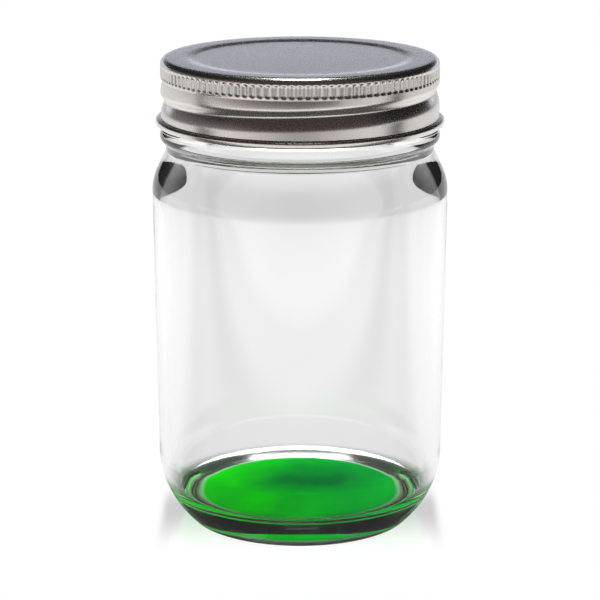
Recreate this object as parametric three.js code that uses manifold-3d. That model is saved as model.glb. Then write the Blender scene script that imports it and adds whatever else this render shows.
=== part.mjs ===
// A round glass jar with a one-piece pressed metal screw lid and a tinted coat under its base.
// Millimetres, +Z up. The origin is the centre of the ring that the jar stands on.
import * as THREE from "three";
import { mergeVertices } from "three/addons/utils/BufferGeometryUtils.js";
import Module from "manifold-3d";

const wasm = await Module();
wasm.setup();

// ---------------------------------------------------------------- driving dimensions

// Glass body
const bodyRadius = 37.65; // outside, just under the shoulder
const bodyDraft = 0.95; // how much narrower the outside is at the top of the heel
const bodyTop = 86.5; // height where the shoulder starts
const bodyWall = 2.4;
const heelHeight = 16.5; // height of the rounded lower edge
const heelWidth = 8.1; // how far the standing ring lies inside the top of the heel
const standingWidth = 0.9; // flat ring that touches the table
const pushUp = 5.4; // hollow under the middle of the base
const pushUpBlend = 1.0; // width of the curve between the standing ring and the hollow
const pushUpEdge = 1.4; // height of that curve
const floorThickness = 2.2; // glass over the middle of the hollow
const insideDrop = 1.5; // how much lower the shoulder starts on the inside
const floorCorner = 5.5; // width of the curve between the inner floor and the wall

// Shoulder, neck and carrying bead
const shoulderRise = 10.7;
const neckInset = 0.5; // neck outside the thread root
const beadRise = 3.8; // neck to the middle of the bead
const beadProud = 2.0; // bead outside the thread root
const beadHalfHeight = 1.4;

// Screw finish
const finishRadius = 33.5; // thread root
const finishWall = 2.9;
const finishHeight = 17.85; // middle of the bead to the rim
const rimRound = 1.2;
const threadPitch = 5.65;
const threadHeight = 1.0; // how far the glass thread stands out
const threadCrestWidth = 1.0;
const threadBaseWidth = 2.6;
const threadStartAngle = 0; // degrees from +X, taken to the nearest flat
const threadRimGap = 2.8; // rim to the middle of the upper end of the thread

// Lid
const sheet = 0.35;
const threadClearance = 0.45; // glass thread to the inside of the skirt
const grooveDepth = 0.9; // pressed thread in the skirt
const grooveWidth = 5.0;
const grooveStartAngle = 128; // degrees from +X, taken to the nearest flat
const grooveStartRise = 4.3; // middle of the curl to the lower end of the pressed thread
const grooveTopRise = 1.1; // foot of the knurls to the upper end of the pressed thread
const runOut = 30; // degrees over which each end of a thread fades out
const lidShoulderRound = 1.6;
const panelInset = 9.7; // skirt to the edge of the sunk panel
const panelStep = 4.2; // width of the slope round the panel
const panelDepth = 0.3;
const knurlProud = 0.2;
const knurlDepth = 0.32;
const knurlHeight = 3.2;
const knurlCount = 114;
const knurlDrop = 1.7; // lid top to the top of the knurls
const knurlLap = 0.1; // how far the band of knurls runs into the plain skirt above and below
const curlRadius = 0.8;
const skirtGap = 2.7; // middle of the bead to the underside of the curl

// Seal and coat
const gasketThickness = 0.8;
const gasketInset = 0.8; // inside of the skirt to the edge of the gasket
const gasketWidth = 4.2;
const coatThickness = 0.5;
const contactGap = 0.3; // left between pieces that touch

// ---------------------------------------------------------------- worked-out dimensions

const sides = 48; // flats round the circle
const degree = Math.PI / 180;
const heelRadius = bodyRadius - bodyDraft;
const standingRadius = heelRadius - heelWidth;
const hollowRadius = standingRadius - standingWidth;
const floorHeight = pushUp + floorThickness;
const neckHeight = bodyTop + shoulderRise;
const neckRadius = finishRadius + neckInset;
const beadHeight = neckHeight + beadRise;
const beadRadius = finishRadius + beadProud;
const mouthRadius = finishRadius - finishWall;
const rimHeight = beadHeight + finishHeight;

const threadRadius = finishRadius + threadHeight;
const skirtInside = threadRadius + threadClearance;
const skirtRadius = skirtInside + sheet;
const gasketBottom = rimHeight + contactGap;
const lidTop = gasketBottom + gasketThickness + contactGap + sheet;
const panelHeight = lidTop - panelDepth;
const panelRadius = skirtRadius - panelInset;
const curlMiddle = beadHeight + skirtGap + curlRadius;
const curlCentreRadius = skirtInside + curlRadius + 0.05;
const knurlTop = lidTop - knurlDrop;
const knurlBottom = knurlTop - knurlHeight;
const bandRoot = skirtInside + sheet / 2; // the knurls stand on this radius
const toFlat = (angle) => (Math.round((angle * sides) / 360) * 360) / sides;
const grooveAngle = toFlat(grooveStartAngle);
const grooveStart = curlMiddle + grooveStartRise;
const grooveTurns = (knurlBottom + grooveTopRise - grooveStart) / threadPitch;

// The glass thread lies midway between two turns of the pressed thread.
const threadAngle = toFlat(threadStartAngle);
const threadStart =
  grooveStart + threadPitch / 2 + ((threadAngle - grooveAngle) / 360) * threadPitch;
const threadTurns = (rimHeight - threadRimGap - threadStart) / threadPitch;

// ---------------------------------------------------------------- helpers

const point = (radius, height) => new THREE.Vector2(radius, height);

// A closed mesh as a solid that can be cut and joined.
function toSolid(geometry) {
  const bare = geometry.clone();
  bare.deleteAttribute("normal");
  bare.deleteAttribute("uv");
  const merged = mergeVertices(bare, 1e-4);
  const corners = merged.index.array;
  const triangles = [];
  for (let i = 0; i < corners.length; i += 3) {
    const [a, b, c] = corners.slice(i, i + 3);
    if (a !== b && b !== c && c !== a) triangles.push(a, b, c);
  }
  return new wasm.Manifold(
    new wasm.Mesh({
      numProp: 3,
      vertProperties: merged.attributes.position.array,
      triVerts: Uint32Array.from(triangles),
    }),
  );
}

function toGeometry(solid) {
  const mesh = solid.getMesh();
  const geometry = new THREE.BufferGeometry();
  geometry.setAttribute("position", new THREE.BufferAttribute(mesh.vertProperties, 3));
  geometry.setIndex(new THREE.BufferAttribute(mesh.triVerts, 1));
  geometry.computeVertexNormals();
  return geometry;
}

// Turns a profile of (radius, height) points round the Z axis.
function turned(points) {
  return new THREE.LatheGeometry(points, sides).rotateX(Math.PI / 2);
}

// Carries a section of (radius, height) points up a right-hand helix, one flat at a time.
// Over the run-out at each end its points go from sectionAt(0) to sectionAt(1).
function helicalSweep(sectionAt, startAngle, startHeight, turns) {
  const steps = Math.round(turns * sides);
  const runOutSteps = (runOut / 360) * sides;
  const outline = sectionAt(1);
  const bar = new THREE.ExtrudeGeometry(new THREE.Shape(outline), {
    depth: steps,
    steps,
    bevelEnabled: false,
  });
  const flat = sectionAt(0);
  const position = bar.attributes.position;
  for (let i = 0; i < position.count; i += 1) {
    const step = steps - position.getZ(i);
    const share = Math.min(1, step / runOutSteps, (steps - step) / runOutSteps);
    const which = nearest(outline, position.getX(i), position.getY(i));
    const radius = THREE.MathUtils.lerp(flat[which].x, outline[which].x, share);
    const height = THREE.MathUtils.lerp(flat[which].y, outline[which].y, share);
    const angle = startAngle * degree + (step / sides) * 2 * Math.PI;
    const middle = startHeight + (step / sides) * threadPitch;
    position.setXYZ(i, radius * Math.cos(angle), radius * Math.sin(angle), middle + height);
  }
  return bar;
}

function nearest(points, x, y) {
  const away = points.map((p) => Math.hypot(p.x - x, p.y - y));
  return away.indexOf(Math.min(...away));
}

function mesh(name, geometry, material) {
  const made = new THREE.Mesh(geometry, new THREE.MeshStandardMaterial(material));
  made.name = name;
  return made;
}

// ---------------------------------------------------------------- glass jar

// The underside from the standing ring to the middle of the hollow, as a profile to be added to.
function addUnderside(path) {
  path.lineTo(hollowRadius, 0);
  const blendRadius = hollowRadius - pushUpBlend;
  path.bezierCurveTo(
    hollowRadius - pushUpBlend * 0.2,
    pushUpEdge * 0.6,
    blendRadius + pushUpBlend * 0.4,
    pushUpEdge * 0.85,
    blendRadius,
    pushUpEdge,
  );
  path.bezierCurveTo(
    blendRadius * 0.96,
    pushUpEdge + (pushUp - pushUpEdge) * 0.6,
    blendRadius * 0.77,
    pushUpEdge + (pushUp - pushUpEdge) * 0.73,
    blendRadius * 0.4,
    pushUp * 0.98,
  );
  path.lineTo(0, pushUp);
}

function addOutside(path) {
  path.lineTo(finishRadius, beadHeight + beadHalfHeight + beadProud);
  path.bezierCurveTo(
    finishRadius + beadProud * 0.2,
    beadHeight + beadHalfHeight + beadProud * 0.45,
    finishRadius + beadProud * 0.65,
    beadHeight + beadHalfHeight + beadProud * 0.4,
    finishRadius + beadProud * 0.82,
    beadHeight + beadHalfHeight,
  );
  path.bezierCurveTo(
    beadRadius + beadProud * 0.06,
    beadHeight + beadHalfHeight * 0.3,
    beadRadius + beadProud * 0.06,
    beadHeight - beadHalfHeight * 0.36,
    beadRadius - beadProud * 0.1,
    beadHeight - beadHalfHeight * 0.72,
  );
  path.bezierCurveTo(
    neckRadius + beadProud * 0.2,
    neckHeight + beadRise * 0.53,
    neckRadius,
    neckHeight + beadRise * 0.37,
    neckRadius,
    neckHeight,
  );
  const shoulderWidth = bodyRadius - neckRadius;
  path.bezierCurveTo(
    neckRadius + shoulderWidth * 0.42,
    neckHeight - shoulderRise * 0.37,
    bodyRadius,
    bodyTop + shoulderRise * 0.42,
    bodyRadius,
    bodyTop,
  );
  path.quadraticCurveTo(
    bodyRadius - bodyDraft * 0.25,
    bodyTop * 0.7,
    heelRadius,
    heelHeight,
  );
  path.bezierCurveTo(
    heelRadius - heelWidth * 0.05,
    heelHeight * 0.58,
    standingRadius + heelWidth * 0.47,
    heelHeight * 0.23,
    standingRadius,
    0,
  );
}

function jarProfile() {
  const path = new THREE.Path();
  const heelInside = heelRadius - bodyWall;
  const bodyInside = bodyRadius - bodyWall;
  path.moveTo(0, floorHeight);
  path.lineTo(heelInside - floorCorner, floorHeight);
  path.bezierCurveTo(
    heelInside - floorCorner * 0.5,
    floorHeight,
    heelInside - floorCorner * 0.15,
    floorHeight + floorCorner * 0.3,
    heelInside,
    floorHeight + floorCorner * 1.64,
  );
  path.lineTo(bodyInside, bodyTop - insideDrop);
  path.bezierCurveTo(
    bodyInside,
    bodyTop + shoulderRise * 0.4,
    mouthRadius,
    neckHeight - shoulderRise * 0.42,
    mouthRadius,
    neckHeight + beadRise - insideDrop,
  );
  path.lineTo(mouthRadius, rimHeight - rimRound);
  path.absarc(mouthRadius + rimRound, rimHeight - rimRound, rimRound, Math.PI, Math.PI / 2, true);
  path.lineTo(finishRadius - rimRound, rimHeight);
  path.absarc(finishRadius - rimRound, rimHeight - rimRound, rimRound, Math.PI / 2, 0, true);
  addOutside(path);
  addUnderside(path);
  return path.getPoints(3).reverse();
}

function threadSection(share) {
  const crest = finishRadius + threadHeight * share;
  const buried = finishRadius - finishWall / 2;
  return [
    point(buried, -threadBaseWidth / 2),
    point(finishRadius, -threadBaseWidth / 2),
    point(crest, -threadCrestWidth / 2),
    point(crest, threadCrestWidth / 2),
    point(finishRadius, threadBaseWidth / 2),
    point(buried, threadBaseWidth / 2),
  ];
}

function glassJar() {
  const thread = helicalSweep(threadSection, threadAngle, threadStart, threadTurns);
  return toGeometry(toSolid(turned(jarProfile())).add(toSolid(thread)));
}

// ---------------------------------------------------------------- coat under the base

// A film that follows the hollow, one contact gap below the glass and one further in.
function baseCoat() {
  const top = new THREE.Path();
  top.moveTo(hollowRadius, 0);
  addUnderside(top);
  const edge = hollowRadius - pushUpBlend;
  const above = top.getPoints(4).filter((p) => p.x <= edge + 1e-6);
  const inward = (p) => Math.max(p.x - contactGap, 0);
  const upper = above.map((p) => point(inward(p), p.y - contactGap));
  const lower = above.map((p) => point(inward(p), p.y - contactGap - coatThickness));
  return turned([...lower.reverse(), ...upper]);
}

// ---------------------------------------------------------------- lid

// Share of the pressed thread's depth at a height from its middle, from 1 to 0 at its edge.
const pressed = (away) => (1 + Math.cos((2 * Math.PI * away) / grooveWidth)) / 2;

const grooveHeights = [-0.5, -0.25, 0, 0.25, 0.5].map((s) => s * grooveWidth);

// The groove as it is cut from the outside of the skirt.
function grooveSection(share) {
  const outer = skirtRadius + grooveDepth;
  const face = grooveHeights.map((z) =>
    point(skirtRadius + 0.02 - grooveDepth * share * pressed(z), z),
  );
  return [point(outer, -grooveWidth / 2), ...face, point(outer, grooveWidth / 2)].reverse();
}

// The same groove as it stands out on the inside of the skirt.
function ridgeSection(share) {
  const face = grooveHeights.map((z) => point(skirtInside - grooveDepth * share * pressed(z), z));
  const buried = skirtInside + sheet / 2;
  return [point(buried, -grooveWidth / 2), ...face, point(buried, grooveWidth / 2)].reverse();
}

function lidProfile() {
  const inner = sheet;
  const shoulder = lidShoulderRound;
  const path = new THREE.Path();
  path.moveTo(0, panelHeight);
  path.lineTo(panelRadius, panelHeight);
  path.bezierCurveTo(
    panelRadius + panelStep * 0.5,
    panelHeight,
    panelRadius + panelStep * 0.5,
    lidTop,
    panelRadius + panelStep,
    lidTop,
  );
  path.lineTo(skirtRadius - shoulder, lidTop);
  path.absarc(skirtRadius - shoulder, lidTop - shoulder, shoulder, Math.PI / 2, 0, true);
  path.lineTo(skirtRadius, knurlTop - knurlLap);
  path.lineTo(bandRoot, knurlTop - knurlLap);
  path.lineTo(bandRoot, knurlBottom + knurlLap);
  path.lineTo(skirtRadius, knurlBottom + knurlLap);
  path.lineTo(skirtRadius, curlMiddle + curlRadius * 2);
  const crease = 135 * degree;
  path.absarc(curlCentreRadius, curlMiddle, curlRadius, crease, -180 * degree, true);
  path.lineTo(skirtInside, curlMiddle + curlRadius * 0.5);
  path.lineTo(skirtInside, lidTop - shoulder);
  path.absarc(skirtRadius - shoulder, lidTop - shoulder, shoulder - inner, 0, Math.PI / 2, false);
  path.lineTo(panelRadius + panelStep, lidTop - inner);
  path.bezierCurveTo(
    panelRadius + panelStep * 0.5,
    lidTop - inner,
    panelRadius + panelStep * 0.5,
    panelHeight - inner,
    panelRadius,
    panelHeight - inner,
  );
  path.lineTo(0, panelHeight - inner);
  return path.getPoints(3).reverse();
}

// A band of upright ribs round the top of the skirt.
function knurlBand() {
  const outline = new THREE.Shape();
  for (let i = 0; i < knurlCount * 2; i += 1) {
    const angle = (i * Math.PI) / knurlCount;
    const radius = skirtRadius + knurlProud - (i % 2) * knurlDepth;
    const corner = [radius * Math.cos(angle), radius * Math.sin(angle)];
    if (i === 0) outline.moveTo(...corner);
    else outline.lineTo(...corner);
  }
  const hole = new THREE.Path();
  hole.absarc(0, 0, (skirtInside + bandRoot) / 2, 0, 2 * Math.PI, false);
  outline.holes.push(new THREE.Path(hole.getPoints(sides / 2))); // an arc takes two points a step
  const band = new THREE.ExtrudeGeometry(outline, {
    depth: knurlHeight,
    steps: 1,
    bevelEnabled: false,
  });
  return band.translate(0, 0, knurlBottom);
}

// Everything above the foot of the knurls, where the groove is left full of metal.
function aboveKnurlFoot() {
  const wide = skirtRadius * 2;
  const high = lidTop * 2;
  return turned([point(0, knurlBottom), point(wide, knurlBottom), point(wide, high), point(0, high)]);
}

function lidShell() {
  const sweep = (section) =>
    toSolid(helicalSweep(section, grooveAngle, grooveStart, grooveTurns));
  const groove = sweep(grooveSection).subtract(toSolid(aboveKnurlFoot()));
  const cap = toSolid(turned(lidProfile()));
  const pressedCap = cap.add(sweep(ridgeSection)).subtract(groove);
  return toGeometry(pressedCap.add(toSolid(knurlBand())));
}

// ---------------------------------------------------------------- seal

// A ring of soft compound in the channel of the lid, with a rounded underside on the rim.
function sealingGasket() {
  const outer = skirtInside - gasketInset;
  const inner = outer - gasketWidth;
  const top = gasketBottom + gasketThickness;
  const ring = new THREE.Shape();
  ring.moveTo(inner, top);
  ring.lineTo(inner, gasketBottom + gasketThickness / 2);
  ring.quadraticCurveTo(
    inner,
    gasketBottom,
    inner + gasketThickness,
    gasketBottom,
  );
  ring.lineTo(outer - gasketThickness, gasketBottom);
  ring.quadraticCurveTo(outer, gasketBottom, outer, gasketBottom + gasketThickness / 2);
  ring.lineTo(outer, top);
  ring.lineTo(inner, top);
  return turned(ring.getPoints(2));
}

// ---------------------------------------------------------------- assembly

const group = new THREE.Group();
group.add(
  mesh("glass_jar", glassJar(), {
    color: 0xe9eeec,
    roughness: 0.03,
    metalness: 0,
    transparent: true,
    opacity: 0.35,
  }),
  mesh("green_base_coat", baseCoat(), { color: 0x14a637, roughness: 0.35, metalness: 0 }),
  mesh("lid_shell", lidShell(), { color: 0xc6c3bf, roughness: 0.3, metalness: 1 }),
  mesh("sealing_gasket", sealingGasket(), { color: 0xe9e6df, roughness: 0.6, metalness: 0 }),
);

export default group;
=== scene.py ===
"""A round glass jar with a pressed metal screw lid and a translucent green coat under its base.

Everything is in metres, +Z up. The origin is the centre of the ring that the jar stands on.
"""

import math

import bpy
import numpy as np
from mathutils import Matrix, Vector


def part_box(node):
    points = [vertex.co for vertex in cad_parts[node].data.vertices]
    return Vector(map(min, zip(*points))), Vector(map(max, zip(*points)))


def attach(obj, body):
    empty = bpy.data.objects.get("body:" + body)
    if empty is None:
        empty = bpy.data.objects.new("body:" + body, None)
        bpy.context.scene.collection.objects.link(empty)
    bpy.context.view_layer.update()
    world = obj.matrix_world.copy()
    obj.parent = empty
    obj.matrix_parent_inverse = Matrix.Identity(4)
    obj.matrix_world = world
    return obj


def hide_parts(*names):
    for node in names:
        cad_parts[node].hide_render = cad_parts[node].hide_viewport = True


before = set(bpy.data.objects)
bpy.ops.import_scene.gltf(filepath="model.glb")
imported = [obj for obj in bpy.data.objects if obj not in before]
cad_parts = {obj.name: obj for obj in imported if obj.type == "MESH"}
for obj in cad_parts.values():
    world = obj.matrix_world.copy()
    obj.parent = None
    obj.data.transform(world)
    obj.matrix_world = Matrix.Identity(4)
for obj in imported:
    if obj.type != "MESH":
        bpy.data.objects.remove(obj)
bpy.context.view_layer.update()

MM = 0.001
FULL_TURN = 2 * math.pi

# ------------------------------------------------------------------ places taken from the frame

JAR_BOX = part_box("glass_jar")
LID_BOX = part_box("lid_shell")
COAT_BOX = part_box("green_base_coat")
GASKET_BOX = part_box("sealing_gasket")

BODY = JAR_BOX[1].x / MM  # outside radius just under the shoulder, in mm
RIM = JAR_BOX[1].z / MM  # height of the glass rim, in mm
LID_TOP = LID_BOX[1].z / MM
CURL_REACH = LID_BOX[1].x / MM  # outside radius of the rolled edge, in mm

# ------------------------------------------------------------------ sizes of the glass, in mm

HEEL_HEIGHT = 16.5
HEEL_RADIUS = BODY - 0.95
STANDING_RADIUS = HEEL_RADIUS - 8.1
STANDING_WIDTH = 0.9
PUSH_UP = 5.4
FLOOR_HEIGHT = 7.6
WALL = 2.4
BEAD_HEIGHT = RIM - 17.85
NECK_HEIGHT = BEAD_HEIGHT - 3.8
SHOULDER_HEIGHT = NECK_HEIGHT - 10.7
FINISH_RADIUS = 33.5
MOUTH_RADIUS = FINISH_RADIUS - 2.9
NECK_RADIUS = FINISH_RADIUS + 0.5
BEAD_RADIUS = FINISH_RADIUS + 2.0
THREAD_PITCH = 5.65
THREAD_HEIGHT = 1.0

# ------------------------------------------------------------------ sizes of the lid, in mm

SHEET = 0.3
SKIRT_RADIUS = 35.3
SHOULDER_ROUND = 1.6
PANEL_RADIUS = 25.6
PANEL_STEP = 4.2
PANEL_DEPTH = 0.3
KNURL_TOP = LID_TOP - 1.6
KNURL_BOTTOM = LID_TOP - 4.9
KNURL_COUNT = 114
KNURL_DEPTH = 0.34
KNURL_FADE_TOP = 0.4  # over which the ribs run out at the band's top
KNURL_FADE_BOTTOM = 0.35  # and at its foot
CURL_RADIUS = 0.8
CURL_HEIGHT = LID_BOX[0].z / MM + CURL_RADIUS
GROOVE_DEPTH = 0.95
GROOVE_ABOVE = 2.3  # reach of the pressed groove above its middle
GROOVE_BELOW = 3.2  # and below it
GROOVE_START = math.radians(120)
GROOVE_START_HEIGHT = 108.6
GROOVE_TURNS = 1.22
FAINT_TURNS = 0.3  # the shallow groove that carries on after the deep one
FAINT_DEPTH = 0.22

# ------------------------------------------------------------------ sizes of the coat, in mm

COAT_BOND = 0.02  # between the film and the glass
COAT_FILM = 0.2
COAT_SHEEN_EDGE = (25.2, 26.2)  # radii where the painted sheen, a paler green edge, starts and is full
COAT_BORDER_SHADE = (26.6, 27.0)  # and where the painted shade, a brown-grey band outside it, does


# ------------------------------------------------------------------ making surfaces


def bezier(start, first, second, end, count):
    """A cubic curve in the radius-height plane: each corner weighted by its Bernstein polynomial."""
    t = np.linspace(0, 1, count)[:, None]
    corners = [np.array(p, float) for p in (start, first, second, end)]
    weights = [(1 - t) ** 3, 3 * t * (1 - t) ** 2, 3 * t**2 * (1 - t), t**3]
    return sum(w * p for w, p in zip(weights, corners))


def arc(centre, radius, start, end, count):
    """A round stretch: the centre plus the radius carried from one angle in degrees to another."""
    t = np.radians(np.linspace(start, end, count))
    return np.stack([centre[0] + radius * np.cos(t), centre[1] + radius * np.sin(t)], axis=1)


def line(start, end, count):
    """Points spaced evenly along a straight stretch."""
    t = np.linspace(0, 1, count)[:, None]
    return np.array(start, float) * (1 - t) + np.array(end, float) * t


def joined(*stretches):
    """One profile from stretches that follow each other, with doubled points left out."""
    points = np.concatenate(stretches)
    step = np.linalg.norm(np.diff(points, axis=0), axis=1)
    return points[np.concatenate([[True], step > 1e-5])]


def grid_faces(rows, columns, closed_rows):
    """Faces of a grid that closes round its columns, and round its rows too if it is a ring."""
    last = rows if closed_rows else rows - 1
    row = np.arange(last)[:, None]
    column = np.arange(columns)[None, :]
    next_row = (row + 1) % rows
    next_column = (column + 1) % columns
    corners = [
        row * columns + column,
        next_row * columns + column,
        next_row * columns + next_column,
        row * columns + next_column,
    ]
    return np.stack([np.broadcast_to(c, (last, columns)).ravel() for c in corners], axis=1)


def surface(name, radius, height, angle, ring=False):
    """A closed surface round the Z axis: each grid point lies at (radius, angle, height) in mm.

    radius and height are arrays of profile rows by angles, and the profile runs down the outside.
    A ring's last row joins its first; any other surface is closed by a fan at both ends.
    """
    rows, columns = radius.shape
    points = np.stack([radius * np.cos(angle), radius * np.sin(angle), height], axis=-1)
    points = points.reshape(-1, 3) * MM
    faces = grid_faces(rows, columns, ring).tolist()
    if not ring:
        poles = np.array([[0, 0, height[0].mean()], [0, 0, height[-1].mean()]]) * MM
        points = np.concatenate([points, poles])
        column = np.arange(columns)
        next_column = (column + 1) % columns
        first = rows * columns
        last_row = (rows - 1) * columns
        faces += np.stack([np.full(columns, first), column, next_column], axis=1).tolist()
        fan = [np.full(columns, first + 1), last_row + next_column, last_row + column]
        faces += np.stack(fan, axis=1).tolist()
    mesh = bpy.data.meshes.new(name)
    mesh.from_pydata(points.tolist(), [], faces)
    mesh.polygons.foreach_set("use_smooth", np.ones(len(mesh.polygons), bool))
    mesh.update()
    piece = bpy.data.objects.new(name, mesh)
    bpy.context.scene.collection.objects.link(piece)
    return piece


def round_angles(count):
    """Evenly spaced angles once round the axis."""
    return np.linspace(0, FULL_TURN, count, endpoint=False)[None, :]


def along_thread(angle, height, start, start_height, turns, run_out, section):
    """The strength of a helical thread at each point, from 0 to 1.

    The section turns the height above the thread's middle into a share, and a smooth fade over
    the run-out at either end is multiplied in. The largest share over all turns counts.
    """
    share = np.zeros(np.broadcast(angle, height).shape)
    for turn in range(-1, math.ceil(turns) + 2):
        along = angle - start + turn * FULL_TURN
        away = height - start_height - along / FULL_TURN * THREAD_PITCH
        ends = np.clip(np.minimum(along, turns * FULL_TURN - along) / run_out, 0, 1)
        share = np.maximum(share, section(away) * ends * ends * (3 - 2 * ends))
    return share


def ridge_section(away):
    """A raised cosine, 1.5 mm to either side."""
    return (1 + np.cos(np.pi * np.clip(np.abs(away) / 1.5, 0, 1))) / 2


def groove_section(away):
    """A raised cosine above the middle; below it, the share left to the edge to the power 1.5."""
    above = (1 + np.cos(np.pi * np.clip(away / GROOVE_ABOVE, 0, 1))) / 2
    below = np.clip(1 + away / GROOVE_BELOW, 0, 1) ** 1.5
    return np.where(away > 0, above, below)


# ------------------------------------------------------------------ materials


def new_material(name):
    """A material with its shader node, its Object coordinates and its node tree."""
    material = bpy.data.materials.new(name)
    material.use_nodes = True
    tree = material.node_tree
    shader = tree.nodes["Principled BSDF"]
    place = tree.nodes.new("ShaderNodeTexCoord")
    return material, tree, shader, place.outputs["Object"]


def noise(tree, place, scale, detail=2.0, roughness=0.5):
    """A noise texture on the given coordinates; the scale is in features per metre."""
    node = tree.nodes.new("ShaderNodeTexNoise")
    node.inputs["Scale"].default_value = scale
    node.inputs["Detail"].default_value = detail
    node.inputs["Roughness"].default_value = roughness
    tree.links.new(place, node.inputs["Vector"])
    return node.outputs["Fac"]


def remap(tree, value, low, high, to_low, to_high):
    """A value carried from one range to another and held inside it."""
    node = tree.nodes.new("ShaderNodeMapRange")
    for socket, number in zip(("From Min", "From Max", "To Min", "To Max"), (low, high, to_low, to_high)):
        node.inputs[socket].default_value = number
    tree.links.new(value, node.inputs["Value"])
    return node.outputs["Result"]


def room_ramp(tree, value, low, high, to_low, to_high):
    """A smooth step from one brightness to another along a direction."""
    node = tree.nodes.new("ShaderNodeMapRange")
    node.interpolation_type = "SMOOTHSTEP"
    for socket, number in zip(("From Min", "From Max", "To Min", "To Max"), (low, high, to_low, to_high)):
        node.inputs[socket].default_value = number
    tree.links.new(value, node.inputs["Value"])
    return node.outputs["Result"]


def arithmetic(tree, operation, *values):
    """The outcome of a named operation on values, each a socket or a fixed number."""
    node = tree.nodes.new("ShaderNodeMath")
    node.operation = operation
    for socket, value in zip(node.inputs, values):
        if isinstance(value, float):
            socket.default_value = value
        else:
            tree.links.new(value, socket)
    return node.outputs[0]


def times(tree, first, second):
    """The product of two values."""
    return arithmetic(tree, "MULTIPLY", first, second)


def plus(tree, first, second):
    """The sum of two values."""
    return arithmetic(tree, "ADD", first, second)


def bump(tree, shader, height, strength, distance):
    """Fine relief on the shader's normal; the distance is the relief's depth in metres."""
    node = tree.nodes.new("ShaderNodeBump")
    node.inputs["Strength"].default_value = strength
    node.inputs["Distance"].default_value = distance
    tree.links.new(height, node.inputs["Height"])
    tree.links.new(node.outputs["Normal"], shader.inputs["Normal"])


def blend(tree, share, first, second):
    """Two colours, each a socket or a fixed colour, mixed by a share from 0 to 1."""
    node = tree.nodes.new("ShaderNodeMix")
    node.data_type = "RGBA"
    for socket, colour in (("A", first), ("B", second)):
        if isinstance(colour, tuple):
            node.inputs[socket].default_value = (*colour, 1)
        else:
            tree.links.new(colour, node.inputs[socket])
    tree.links.new(share, node.inputs["Factor"])
    return node.outputs["Result"]


def distance_from(tree, place, centre):
    """How far each point lies from an upright axis through the centre, in metres."""
    flat = tree.nodes.new("ShaderNodeVectorMath")
    flat.operation = "MULTIPLY"
    flat.inputs[1].default_value = (1, 1, 0)
    tree.links.new(place, flat.inputs[0])
    away = tree.nodes.new("ShaderNodeVectorMath")
    away.operation = "DISTANCE"
    away.inputs[1].default_value = (centre[0], centre[1], 0)
    tree.links.new(flat.outputs[0], away.inputs[0])
    return away.outputs["Value"]


def clear_glass():
    """Fire-polished flint glass: smooth and clear, with a slow mould ripple."""
    material, tree, shader, place = new_material("clear_glass")
    shader.inputs["Base Color"].default_value = (0.99, 0.992, 0.99, 1)
    shader.inputs["Roughness"].default_value = 0.0
    shader.inputs["IOR"].default_value = 1.5
    shader.inputs["Transmission Weight"].default_value = 1.0
    ripple = noise(tree, place, 130, 2.0)
    bump(tree, shader, ripple, 0.04, 0.0004)
    return material


def green_lacquer():
    """Translucent green lacquer, its tone uneven at random, with painted light and shade in its colour.

    Painted shade darkens the middle, painted light brightens the left, a painted sheen makes a paler
    edge, and a brown-grey painted shade runs outside that edge. Each is a change of colour by place.
    """
    material, tree, shader, place = new_material("green_lacquer")
    split = tree.nodes.new("ShaderNodeSeparateXYZ")
    tree.links.new(place, split.inputs["Vector"])
    # painted shade: the green is darker towards a point near the middle; the noise cloud is the film's
    # own uneven tone
    reach = distance_from(tree, place, (0.004, 0.008, 0))
    painted_middle_shade = remap(tree, reach, 0.006, 0.022, 0, 0.8)
    cloud = remap(tree, noise(tree, place, 70, 2.0), 0.35, 0.65, -0.15, 0.2)
    share = plus(tree, painted_middle_shade, cloud)
    # painted light: the green is brighter on the left than on the right
    left = blend(tree, share, (0.0, 0.16, 0.02), (0.003, 0.62, 0.0))
    right = blend(tree, share, (0.0, 0.17, 0.03), (0.0, 0.42, 0.03))
    side = remap(tree, split.outputs["X"], -0.012, 0.014, 0, 1)
    body = blend(tree, side, left, right)
    edge = distance_from(tree, place, (0, 0, 0))
    # painted sheen: a paler green towards the film's edge
    sheen_from, sheen_to = (radius * MM for radius in COAT_SHEEN_EDGE)
    painted_sheen_edge = blend(tree, remap(tree, edge, sheen_from, sheen_to, 0, 0.8), body, (0.30, 0.62, 0.34))
    # painted shade: a brown-grey band at the film's outer edge stands for the dark floor under the
    # standing ring, seen through the glass
    border_shade_from, border_shade_to = (radius * MM for radius in COAT_BORDER_SHADE)
    painted_border_shade = blend(tree, remap(tree, edge, border_shade_from, border_shade_to, 0, 1), painted_sheen_edge, (0.20, 0.23, 0.13))
    tree.links.new(painted_border_shade, shader.inputs["Base Color"])
    shader.inputs["Roughness"].default_value = 0.3
    shader.inputs["Specular IOR Level"].default_value = 0.0
    return material


def tinplate():
    """Lacquered tinplate: bright satin metal with a fine grain and faint flecks."""
    material, tree, shader, place = new_material("tinplate")
    shader.inputs["Metallic"].default_value = 1.0
    grain = noise(tree, place, 2600, 3.0, 0.6)
    cloud = noise(tree, place, 60, 2.0)
    share = remap(tree, cloud, 0.3, 0.7, 0, 1)
    colour = blend(tree, share, (0.72, 0.685, 0.65), (0.76, 0.72, 0.685))
    tree.links.new(colour, shader.inputs["Base Color"])
    tree.links.new(remap(tree, grain, 0.3, 0.7, 0.2, 0.3), shader.inputs["Roughness"])
    bump(tree, shader, grain, 0.02, 0.00003)
    return material


def seal_compound():
    """Soft off-white sealing compound, slightly uneven."""
    material, tree, shader, place = new_material("seal_compound")
    cloud = noise(tree, place, 300, 2.0)
    colour = blend(tree, cloud, (0.74, 0.72, 0.67), (0.82, 0.80, 0.75))
    tree.links.new(colour, shader.inputs["Base Color"])
    shader.inputs["Roughness"].default_value = 0.55
    bump(tree, shader, cloud, 0.2, 0.0001)
    return material


# ------------------------------------------------------------------ the glass jar


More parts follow.
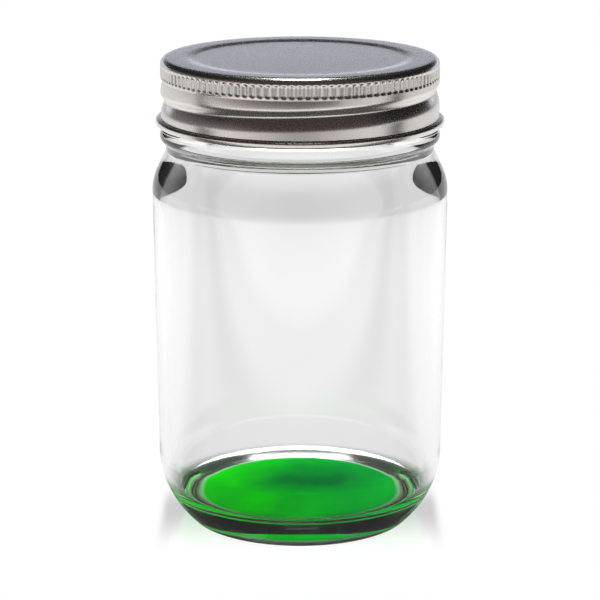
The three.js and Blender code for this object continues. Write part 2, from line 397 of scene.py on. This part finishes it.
def jar_inside():
    """The inner face from the middle of the floor up to the rim."""
    heel = HEEL_RADIUS - WALL
    body = BODY - WALL
    return [
        line((0.4, FLOOR_HEIGHT), (heel - 5.5, FLOOR_HEIGHT), 20),
        bezier(
            (heel - 5.5, FLOOR_HEIGHT),
            (heel - 2.8, FLOOR_HEIGHT),
            (heel - 0.8, FLOOR_HEIGHT + 1.6),
            (heel, FLOOR_HEIGHT + 9.0),
            40,
        ),
        line((heel, FLOOR_HEIGHT + 9.0), (body, SHOULDER_HEIGHT - 1.5), 30),
        bezier(
            (body, SHOULDER_HEIGHT - 1.5),
            (body, SHOULDER_HEIGHT + 4.3),
            (MOUTH_RADIUS, NECK_HEIGHT - 4.5),
            (MOUTH_RADIUS, BEAD_HEIGHT - 1.5),
            34,
        ),
        line((MOUTH_RADIUS, BEAD_HEIGHT - 1.5), (MOUTH_RADIUS, RIM - 1.2), 16),
        arc((MOUTH_RADIUS + 1.2, RIM - 1.2), 1.2, 180, 90, 9),
    ]


def jar_outside():
    """The outer face from the rim down the finish, bead, neck, shoulder, body and heel."""
    width = BODY - NECK_RADIUS
    return [
        arc((FINISH_RADIUS - 1.2, RIM - 1.2), 1.2, 90, 0, 9),
        line((FINISH_RADIUS, RIM - 1.2), (FINISH_RADIUS, BEAD_HEIGHT + 3.4), 60),
        bezier(
            (FINISH_RADIUS, BEAD_HEIGHT + 3.4),
            (FINISH_RADIUS + 0.4, BEAD_HEIGHT + 2.3),
            (FINISH_RADIUS + 1.3, BEAD_HEIGHT + 2.2),
            (FINISH_RADIUS + 1.64, BEAD_HEIGHT + 1.4),
            10,
        ),
        bezier(
            (FINISH_RADIUS + 1.64, BEAD_HEIGHT + 1.4),
            (BEAD_RADIUS + 0.12, BEAD_HEIGHT + 0.4),
            (BEAD_RADIUS + 0.12, BEAD_HEIGHT - 0.5),
            (BEAD_RADIUS - 0.2, BEAD_HEIGHT - 1.0),
            14,
        ),
        bezier(
            (BEAD_RADIUS - 0.2, BEAD_HEIGHT - 1.0),
            (NECK_RADIUS + 0.4, NECK_HEIGHT + 2.0),
            (NECK_RADIUS, NECK_HEIGHT + 1.4),
            (NECK_RADIUS, NECK_HEIGHT),
            16,
        ),
        bezier(
            (NECK_RADIUS, NECK_HEIGHT),
            (NECK_RADIUS + width * 0.42, NECK_HEIGHT - 4.0),
            (BODY, SHOULDER_HEIGHT + 4.5),
            (BODY, SHOULDER_HEIGHT),
            34,
        ),
        bezier(
            (BODY, SHOULDER_HEIGHT),
            (BODY - 0.1, SHOULDER_HEIGHT - 16),
            (HEEL_RADIUS + 0.3, HEEL_HEIGHT + 22),
            (HEEL_RADIUS, HEEL_HEIGHT),
            36,
        ),
        bezier(
            (HEEL_RADIUS, HEEL_HEIGHT),
            (HEEL_RADIUS - 0.4, HEEL_HEIGHT * 0.58),
            (STANDING_RADIUS + 3.8, HEEL_HEIGHT * 0.23),
            (STANDING_RADIUS, 0.25),
            44,
        ),
        bezier(
            (STANDING_RADIUS, 0.25),
            (STANDING_RADIUS - 0.25, 0),
            (STANDING_RADIUS - 0.5, 0),
            (STANDING_RADIUS - STANDING_WIDTH, 0),
            6,
        ),
    ]


def hollow(drop):
    """The underside from the standing ring to the middle of the hollow, lowered by a drop in mm."""
    edge = STANDING_RADIUS - STANDING_WIDTH
    return [
        bezier((edge, 0), (edge - 0.1, 0.9), (edge - 0.4, 1.2 - drop), (edge - 0.8, 1.4 - drop), 8),
        bezier(
            (edge - 0.8, 1.4 - drop),
            (edge - 1.8, 3.8 - drop),
            (edge - 7, 4.3 - drop),
            (edge - 17, PUSH_UP - 0.1 - drop),
            30,
        ),
        line((edge - 17, PUSH_UP - 0.1 - drop), (0.4, PUSH_UP - drop), 12),
    ]


def glass_jar():
    """A profile turned round the axis, with the screw thread added to it; the slow mould ripple is in the
    glass's finish.
    """
    profile = joined(*jar_inside(), *jar_outside(), *hollow(0))
    angle = round_angles(288)
    radius = np.repeat(profile[:, :1], angle.shape[1], axis=1)
    height = np.repeat(profile[:, 1:], angle.shape[1], axis=1)
    on_finish = (profile[:, :1] > FINISH_RADIUS - 0.01) & (profile[:, 1:] > BEAD_HEIGHT + 2)
    start_height = GROOVE_START_HEIGHT + THREAD_PITCH * (0.5 - GROOVE_START / FULL_TURN)
    turns = (RIM - 2.8 - start_height) / THREAD_PITCH
    run_out = math.radians(25)
    thread = along_thread(angle, height, 0.0, start_height, turns, run_out, ridge_section)
    radius = radius + THREAD_HEIGHT * thread * on_finish
    return surface("glass_jar_body", radius, height, angle)


# ------------------------------------------------------------------ the green coat


def base_coat():
    """A thin film between the hollow of the glass and the same curve a little lower."""
    angle = round_angles(160)
    top = joined(*hollow(-COAT_BOND))[1:]
    under = joined(*hollow(COAT_FILM))[1:]
    profile = np.concatenate([top[::-1], under])
    radius = np.repeat(profile[:, :1], angle.shape[1], axis=1)
    height = np.repeat(profile[:, 1:], angle.shape[1], axis=1)
    return surface("green_coat_film", radius, height, angle)


# ------------------------------------------------------------------ the lid


def lid_outside():
    """The outer face from the middle of the panel to the foot of the rolled edge."""
    step = PANEL_RADIUS + PANEL_STEP
    return [
        line((0.4, LID_TOP - PANEL_DEPTH), (PANEL_RADIUS, LID_TOP - PANEL_DEPTH), 8),
        bezier(
            (PANEL_RADIUS, LID_TOP - PANEL_DEPTH),
            (PANEL_RADIUS + PANEL_STEP * 0.45, LID_TOP - PANEL_DEPTH),
            (PANEL_RADIUS + PANEL_STEP * 0.45, LID_TOP),
            (step, LID_TOP),
            12,
        ),
        line((step, LID_TOP), (SKIRT_RADIUS - SHOULDER_ROUND, LID_TOP), 4),
        arc((SKIRT_RADIUS - SHOULDER_ROUND, LID_TOP - SHOULDER_ROUND), SHOULDER_ROUND, 90, 0, 9),
        line((SKIRT_RADIUS, KNURL_TOP), (SKIRT_RADIUS, KNURL_BOTTOM), 12),
        line((SKIRT_RADIUS, KNURL_BOTTOM), (SKIRT_RADIUS, CURL_HEIGHT + CURL_RADIUS * 1.05), 34),
    ]


def lid_curl(centre):
    """The rolled edge: a flattened roll, the cosine and sine of the angle each raised to 0.55.

    It is leaned by 9 degrees, so that its outer face looks slightly down.
    """
    turn = np.radians(np.linspace(150, -175, 30))
    flat_across = np.sign(np.cos(turn)) * np.abs(np.cos(turn)) ** 0.55
    flat_up = np.sign(np.sin(turn)) * np.abs(np.sin(turn)) ** 0.55
    lean = math.radians(9)
    across = 0.99 * (flat_across * math.cos(lean) + flat_up * math.sin(lean))
    up = flat_up * math.cos(lean) - flat_across * math.sin(lean)
    return np.stack([centre + CURL_RADIUS * across, CURL_HEIGHT + CURL_RADIUS * up], axis=1)


def lid_inside():
    """The inner face from the rolled edge up to the middle of the panel."""
    wall = SKIRT_RADIUS - SHEET
    step = PANEL_RADIUS + PANEL_STEP
    under = LID_TOP - SHEET
    corner = SHOULDER_ROUND - SHEET
    return [
        line((wall, CURL_HEIGHT + 0.6), (wall, KNURL_BOTTOM), 26),
        line((wall, KNURL_BOTTOM), (wall, LID_TOP - SHOULDER_ROUND), 5),
        arc((wall - corner, LID_TOP - SHOULDER_ROUND), corner, 0, 90, 6),
        line((wall - corner, under), (step, under), 3),
        bezier(
            (step, under),
            (PANEL_RADIUS + PANEL_STEP * 0.45, under),
            (PANEL_RADIUS + PANEL_STEP * 0.45, under - PANEL_DEPTH),
            (PANEL_RADIUS, under - PANEL_DEPTH),
            8,
        ),
        line((PANEL_RADIUS, under - PANEL_DEPTH), (0.4, under - PANEL_DEPTH), 5),
    ]


def knurl_shape(angle, height):
    """Upright ribs: the raised cosine of the angle, faded at the band's two edges."""
    rib = (1 + np.cos(angle * KNURL_COUNT)) / 2
    fade_top = np.clip((KNURL_TOP - height) / KNURL_FADE_TOP, 0, 1)
    fade_bottom = np.clip((height - KNURL_BOTTOM) / KNURL_FADE_BOTTOM, 0, 1)
    return (rib - 1) * fade_top * fade_bottom


def lid_shell():
    """The turned pressing with its knurls, and its thread groove pressed through both faces."""
    profile = joined(*lid_outside(), lid_curl(CURL_REACH - CURL_RADIUS), *lid_inside())
    angle = round_angles(KNURL_COUNT * 6)
    radius = np.repeat(profile[:, :1], angle.shape[1], axis=1)
    height = np.repeat(profile[:, 1:], angle.shape[1], axis=1)
    on_skirt = profile[:, :1] > SKIRT_RADIUS - SHEET - 0.02
    on_skirt &= profile[:, :1] < SKIRT_RADIUS + 0.02
    on_skirt &= profile[:, 1:] < LID_TOP - SHOULDER_ROUND
    outer = profile[:, :1] > SKIRT_RADIUS - 0.02
    start, turns, run_out = GROOVE_START, GROOVE_TURNS, math.radians(24)
    low = GROOVE_START_HEIGHT
    groove = along_thread(angle, height, start, low, turns, run_out, groove_section)
    start += (turns - 0.05) * FULL_TURN
    low += (turns - 0.05) * THREAD_PITCH
    faint = along_thread(angle, height, start, low, FAINT_TURNS, run_out / 3, groove_section)
    groove = np.maximum(groove, FAINT_DEPTH / GROOVE_DEPTH * faint)
    below_knurls = np.clip((KNURL_BOTTOM - height) / KNURL_FADE_BOTTOM + 0.2, 0, 1)
    radius = radius - GROOVE_DEPTH * groove * on_skirt * below_knurls
    radius = radius + KNURL_DEPTH * knurl_shape(angle, height) * on_skirt * outer
    return surface("lid_pressing", radius, height, angle)


# ------------------------------------------------------------------ the seal


def sealing_gasket():
    """A ring of compound in the lid's channel, with a shallow track where the rim has pressed it."""
    low = GASKET_BOX[0].z / MM
    high = GASKET_BOX[1].z / MM
    outer = GASKET_BOX[1].x / MM
    inner = outer - 4.2
    middle = (outer + inner) / 2
    across = np.linspace(-1, 1, 24)
    track = low + 0.3 * np.abs(across) ** 4 + 0.12 * np.exp(-((across / 0.35) ** 2))
    under = np.stack([middle + across * (outer - inner) / 2, track], axis=1)
    over = line((inner + 0.1, high), (outer - 0.1, high), 3)
    profile = joined(line((inner, high - 0.1), (inner, high - 0.1), 1), over, under[::-1])
    angle = round_angles(160)
    radius = np.repeat(profile[:, :1], angle.shape[1], axis=1)
    height = np.repeat(profile[:, 1:], angle.shape[1], axis=1)
    return surface("gasket_ring", radius, height, angle, ring=True)


# ------------------------------------------------------------------ the studio


def studio_camera():
    """A long lens a little above the jar."""
    camera = bpy.data.cameras.new("camera")
    camera.lens = 153.42
    camera.sensor_width = 36
    camera.clip_start = 0.01
    camera.clip_end = 100
    holder = bpy.data.objects.new("camera", camera)
    holder.location = (0, -0.640, 0.22174)
    holder.rotation_euler = (math.radians(90 - 14.426), 0, 0)
    bpy.context.scene.collection.objects.link(holder)
    bpy.context.scene.camera = holder


def soft_light(name, place, target, width, height, radiance, colour=(1, 1, 1)):
    """A flat soft light at a place, facing a target; its power is radiance times pi times area."""
    light = bpy.data.lights.new(name, "AREA")
    light.shape = "RECTANGLE"
    light.size = width
    light.size_y = height
    light.energy = radiance * math.pi * width * height
    light.color = colour
    holder = bpy.data.objects.new(name, light)
    holder.location = place
    holder.rotation_euler = (Vector(target) - Vector(place)).to_track_quat("-Z", "Y").to_euler()
    holder.visible_camera = False
    bpy.context.scene.collection.objects.link(holder)
    return holder


def studio_room():
    """A white backdrop where it is seen directly.

    Light that is mirrored or comes through the glass meets a dim room instead, a little brighter
    low on the left and warmer on the viewer's side.
    """
    world = bpy.data.worlds.new("studio_room")
    bpy.context.scene.world = world
    world.use_nodes = True
    tree = world.node_tree
    background = tree.nodes["Background"]
    place = tree.nodes.new("ShaderNodeTexCoord")
    split = tree.nodes.new("ShaderNodeSeparateXYZ")
    tree.links.new(place.outputs["Generated"], split.inputs["Vector"])
    around = room_ramp(tree, split.outputs["Y"], -0.5, -0.2, 0.06, 0.016)
    left = room_ramp(tree, split.outputs["X"], -0.9, -0.5, 0.15, 0.0)
    low = room_ramp(tree, split.outputs["Z"], 0.1, 0.45, 1.0, 0.0)
    room = plus(tree, around, times(tree, left, low))
    path = tree.nodes.new("ShaderNodeLightPath")
    strength = tree.nodes.new("ShaderNodeMix")
    strength.data_type = "FLOAT"
    strength.inputs[3].default_value = 1.0
    tree.links.new(path.outputs["Is Camera Ray"], strength.inputs[0])
    tree.links.new(room, strength.inputs[2])
    tree.links.new(strength.outputs[0], background.inputs["Strength"])
    warm = room_ramp(tree, split.outputs["Y"], -0.5, -0.2, 0.0, 1.0)
    tint = blend(tree, warm, (1.0, 0.8, 0.78), (1, 1, 1))
    tree.links.new(tint, background.inputs["Color"])


def pale_floor():
    """A plain white floor, with the jar's shade drawn on it by place.

    Seen directly it is an even white with one soft shade under the front of the jar. Light that is
    mirrored or comes through the glass meets a glow that changes with place instead: less near the
    jar, far off, and in front of it.
    """
    half = 3.0
    height = -0.00002  # just under the standing ring
    mesh = bpy.data.meshes.new("pale_floor")
    corners = [(-half, -half, height), (half, -half, height), (half, half, height), (-half, half, height)]
    mesh.from_pydata(corners, [], [(0, 1, 2, 3)])
    floor = bpy.data.objects.new("pale_floor", mesh)
    bpy.context.scene.collection.objects.link(floor)
    material, tree, shader, place = new_material("pale_floor")
    reach = tree.nodes.new("ShaderNodeVectorMath")
    reach.operation = "LENGTH"
    tree.links.new(place, reach.inputs[0])
    shade = room_ramp(tree, reach.outputs["Value"], 0.030, 0.050, 0.0, 0.84)
    far = room_ramp(tree, reach.outputs["Value"], 0.2, 0.55, 1.0, 0.75)
    split = tree.nodes.new("ShaderNodeSeparateXYZ")
    tree.links.new(place, split.inputs["Vector"])
    front = room_ramp(tree, split.outputs["Y"], -1.3, -0.45, 0.2, 1.0)
    before = room_ramp(tree, split.outputs["Y"], -0.18, -0.12, 1.2, 0.0)
    behind = room_ramp(tree, split.outputs["Y"], -0.02, 0.03, 0.0, 1.0)
    near = plus(tree, before, behind)
    sideways = arithmetic(tree, "ABSOLUTE", split.outputs["X"])
    viewer = plus(
        tree,
        room_ramp(tree, sideways, 0.05, 0.25, 0.4, 0.65),
        room_ramp(tree, split.outputs["Y"], -0.6, -0.35, 0.0, 0.6),
    )
    glow = times(tree, times(tree, times(tree, times(tree, shade, far), front), near), viewer)
    below = times(
        tree,
        room_ramp(tree, split.outputs["Y"], -0.034, 0.0, 0.0, 0.40),
        room_ramp(tree, split.outputs["Y"], 0.004, 0.022, 1.0, 0.0),
    )
    under = times(tree, below, room_ramp(tree, sideways, 0.0345, 0.0375, 1.0, 0.0))
    seen_directly = remap(tree, under, 0, 1, 0.93, 0.0)
    path = tree.nodes.new("ShaderNodeLightPath")
    direct = tree.nodes.new("ShaderNodeMix")
    direct.data_type = "FLOAT"
    tree.links.new(seen_directly, direct.inputs[3])
    tree.links.new(path.outputs["Is Camera Ray"], direct.inputs[0])
    tree.links.new(glow, direct.inputs[2])
    tree.links.new(direct.outputs[0], shader.inputs["Emission Strength"])
    shader.inputs["Base Color"].default_value = (0.04, 0.04, 0.04, 1)
    shader.inputs["Roughness"].default_value = 0.1
    shader.inputs["Emission Color"].default_value = (1, 1, 1, 1)
    mesh.materials.append(material)
    return floor


def studio(lid, others):
    """Floor, room, lights, camera and how light is counted.

    The rear panel and the edge light reach only the lid; the strip and the window reach all else.
    """
    studio_camera()
    studio_room()
    floor = pale_floor()
    panel = soft_light("rear_panel", (0, 1.5, 0.25), (0, 0, 0.2), 3.0, 0.28, 1.18, (0.84, 0.89, 1.02))
    edge_light = soft_light("lid_edge_light", (0, 0.45, 1.2), (0, 0.45, 0), 0.2, 1.0, 7)
    only_lid = bpy.data.collections.new("lit_for_the_lid")
    only_lid.objects.link(lid)
    panel.light_linking.receiver_collection = only_lid
    edge_light.light_linking.receiver_collection = only_lid
    strip = soft_light("overhead_strip", (0, 0.2, 1.2), (0, 0.2, 0), 0.36, 1.0, 16)
    all_but_lid = bpy.data.collections.new("lit_all_but_lid")
    window = soft_light("rear_window", (0, 1.0, 1.0), (0, 0, 0), 0.42, 0.46, 50)
    window.light_linking.receiver_collection = all_but_lid
    for piece in (floor, *others):
        all_but_lid.objects.link(piece)
    strip.light_linking.receiver_collection = all_but_lid
    scene = bpy.context.scene
    scene.view_settings.view_transform = "Standard"
    scene.cycles.use_denoising = True
    scene.cycles.max_bounces = 24
    scene.cycles.transmission_bounces = 24
    scene.cycles.glossy_bounces = 8
    scene.cycles.caustics_refractive = False
    scene.cycles.caustics_reflective = False
    scene.cycles.sample_clamp_indirect = 6


# ------------------------------------------------------------------ putting it together


def place_piece(piece, material, body, node):
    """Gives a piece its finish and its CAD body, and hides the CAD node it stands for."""
    piece.data.materials.append(material)
    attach(piece, body)
    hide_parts(node)


def build():
    """Every piece of the jar."""
    glass = glass_jar()
    glass.visible_shadow = False
    place_piece(glass, clear_glass(), "jar", "glass_jar")
    coat = base_coat()
    place_piece(coat, green_lacquer(), "jar", "green_base_coat")
    lid = lid_shell()
    place_piece(lid, tinplate(), "lid", "lid_shell")
    gasket = sealing_gasket()
    place_piece(gasket, seal_compound(), "gasket", "sealing_gasket")
    return lid, (glass, coat, gasket)


lid, others = build()
studio(lid, others)
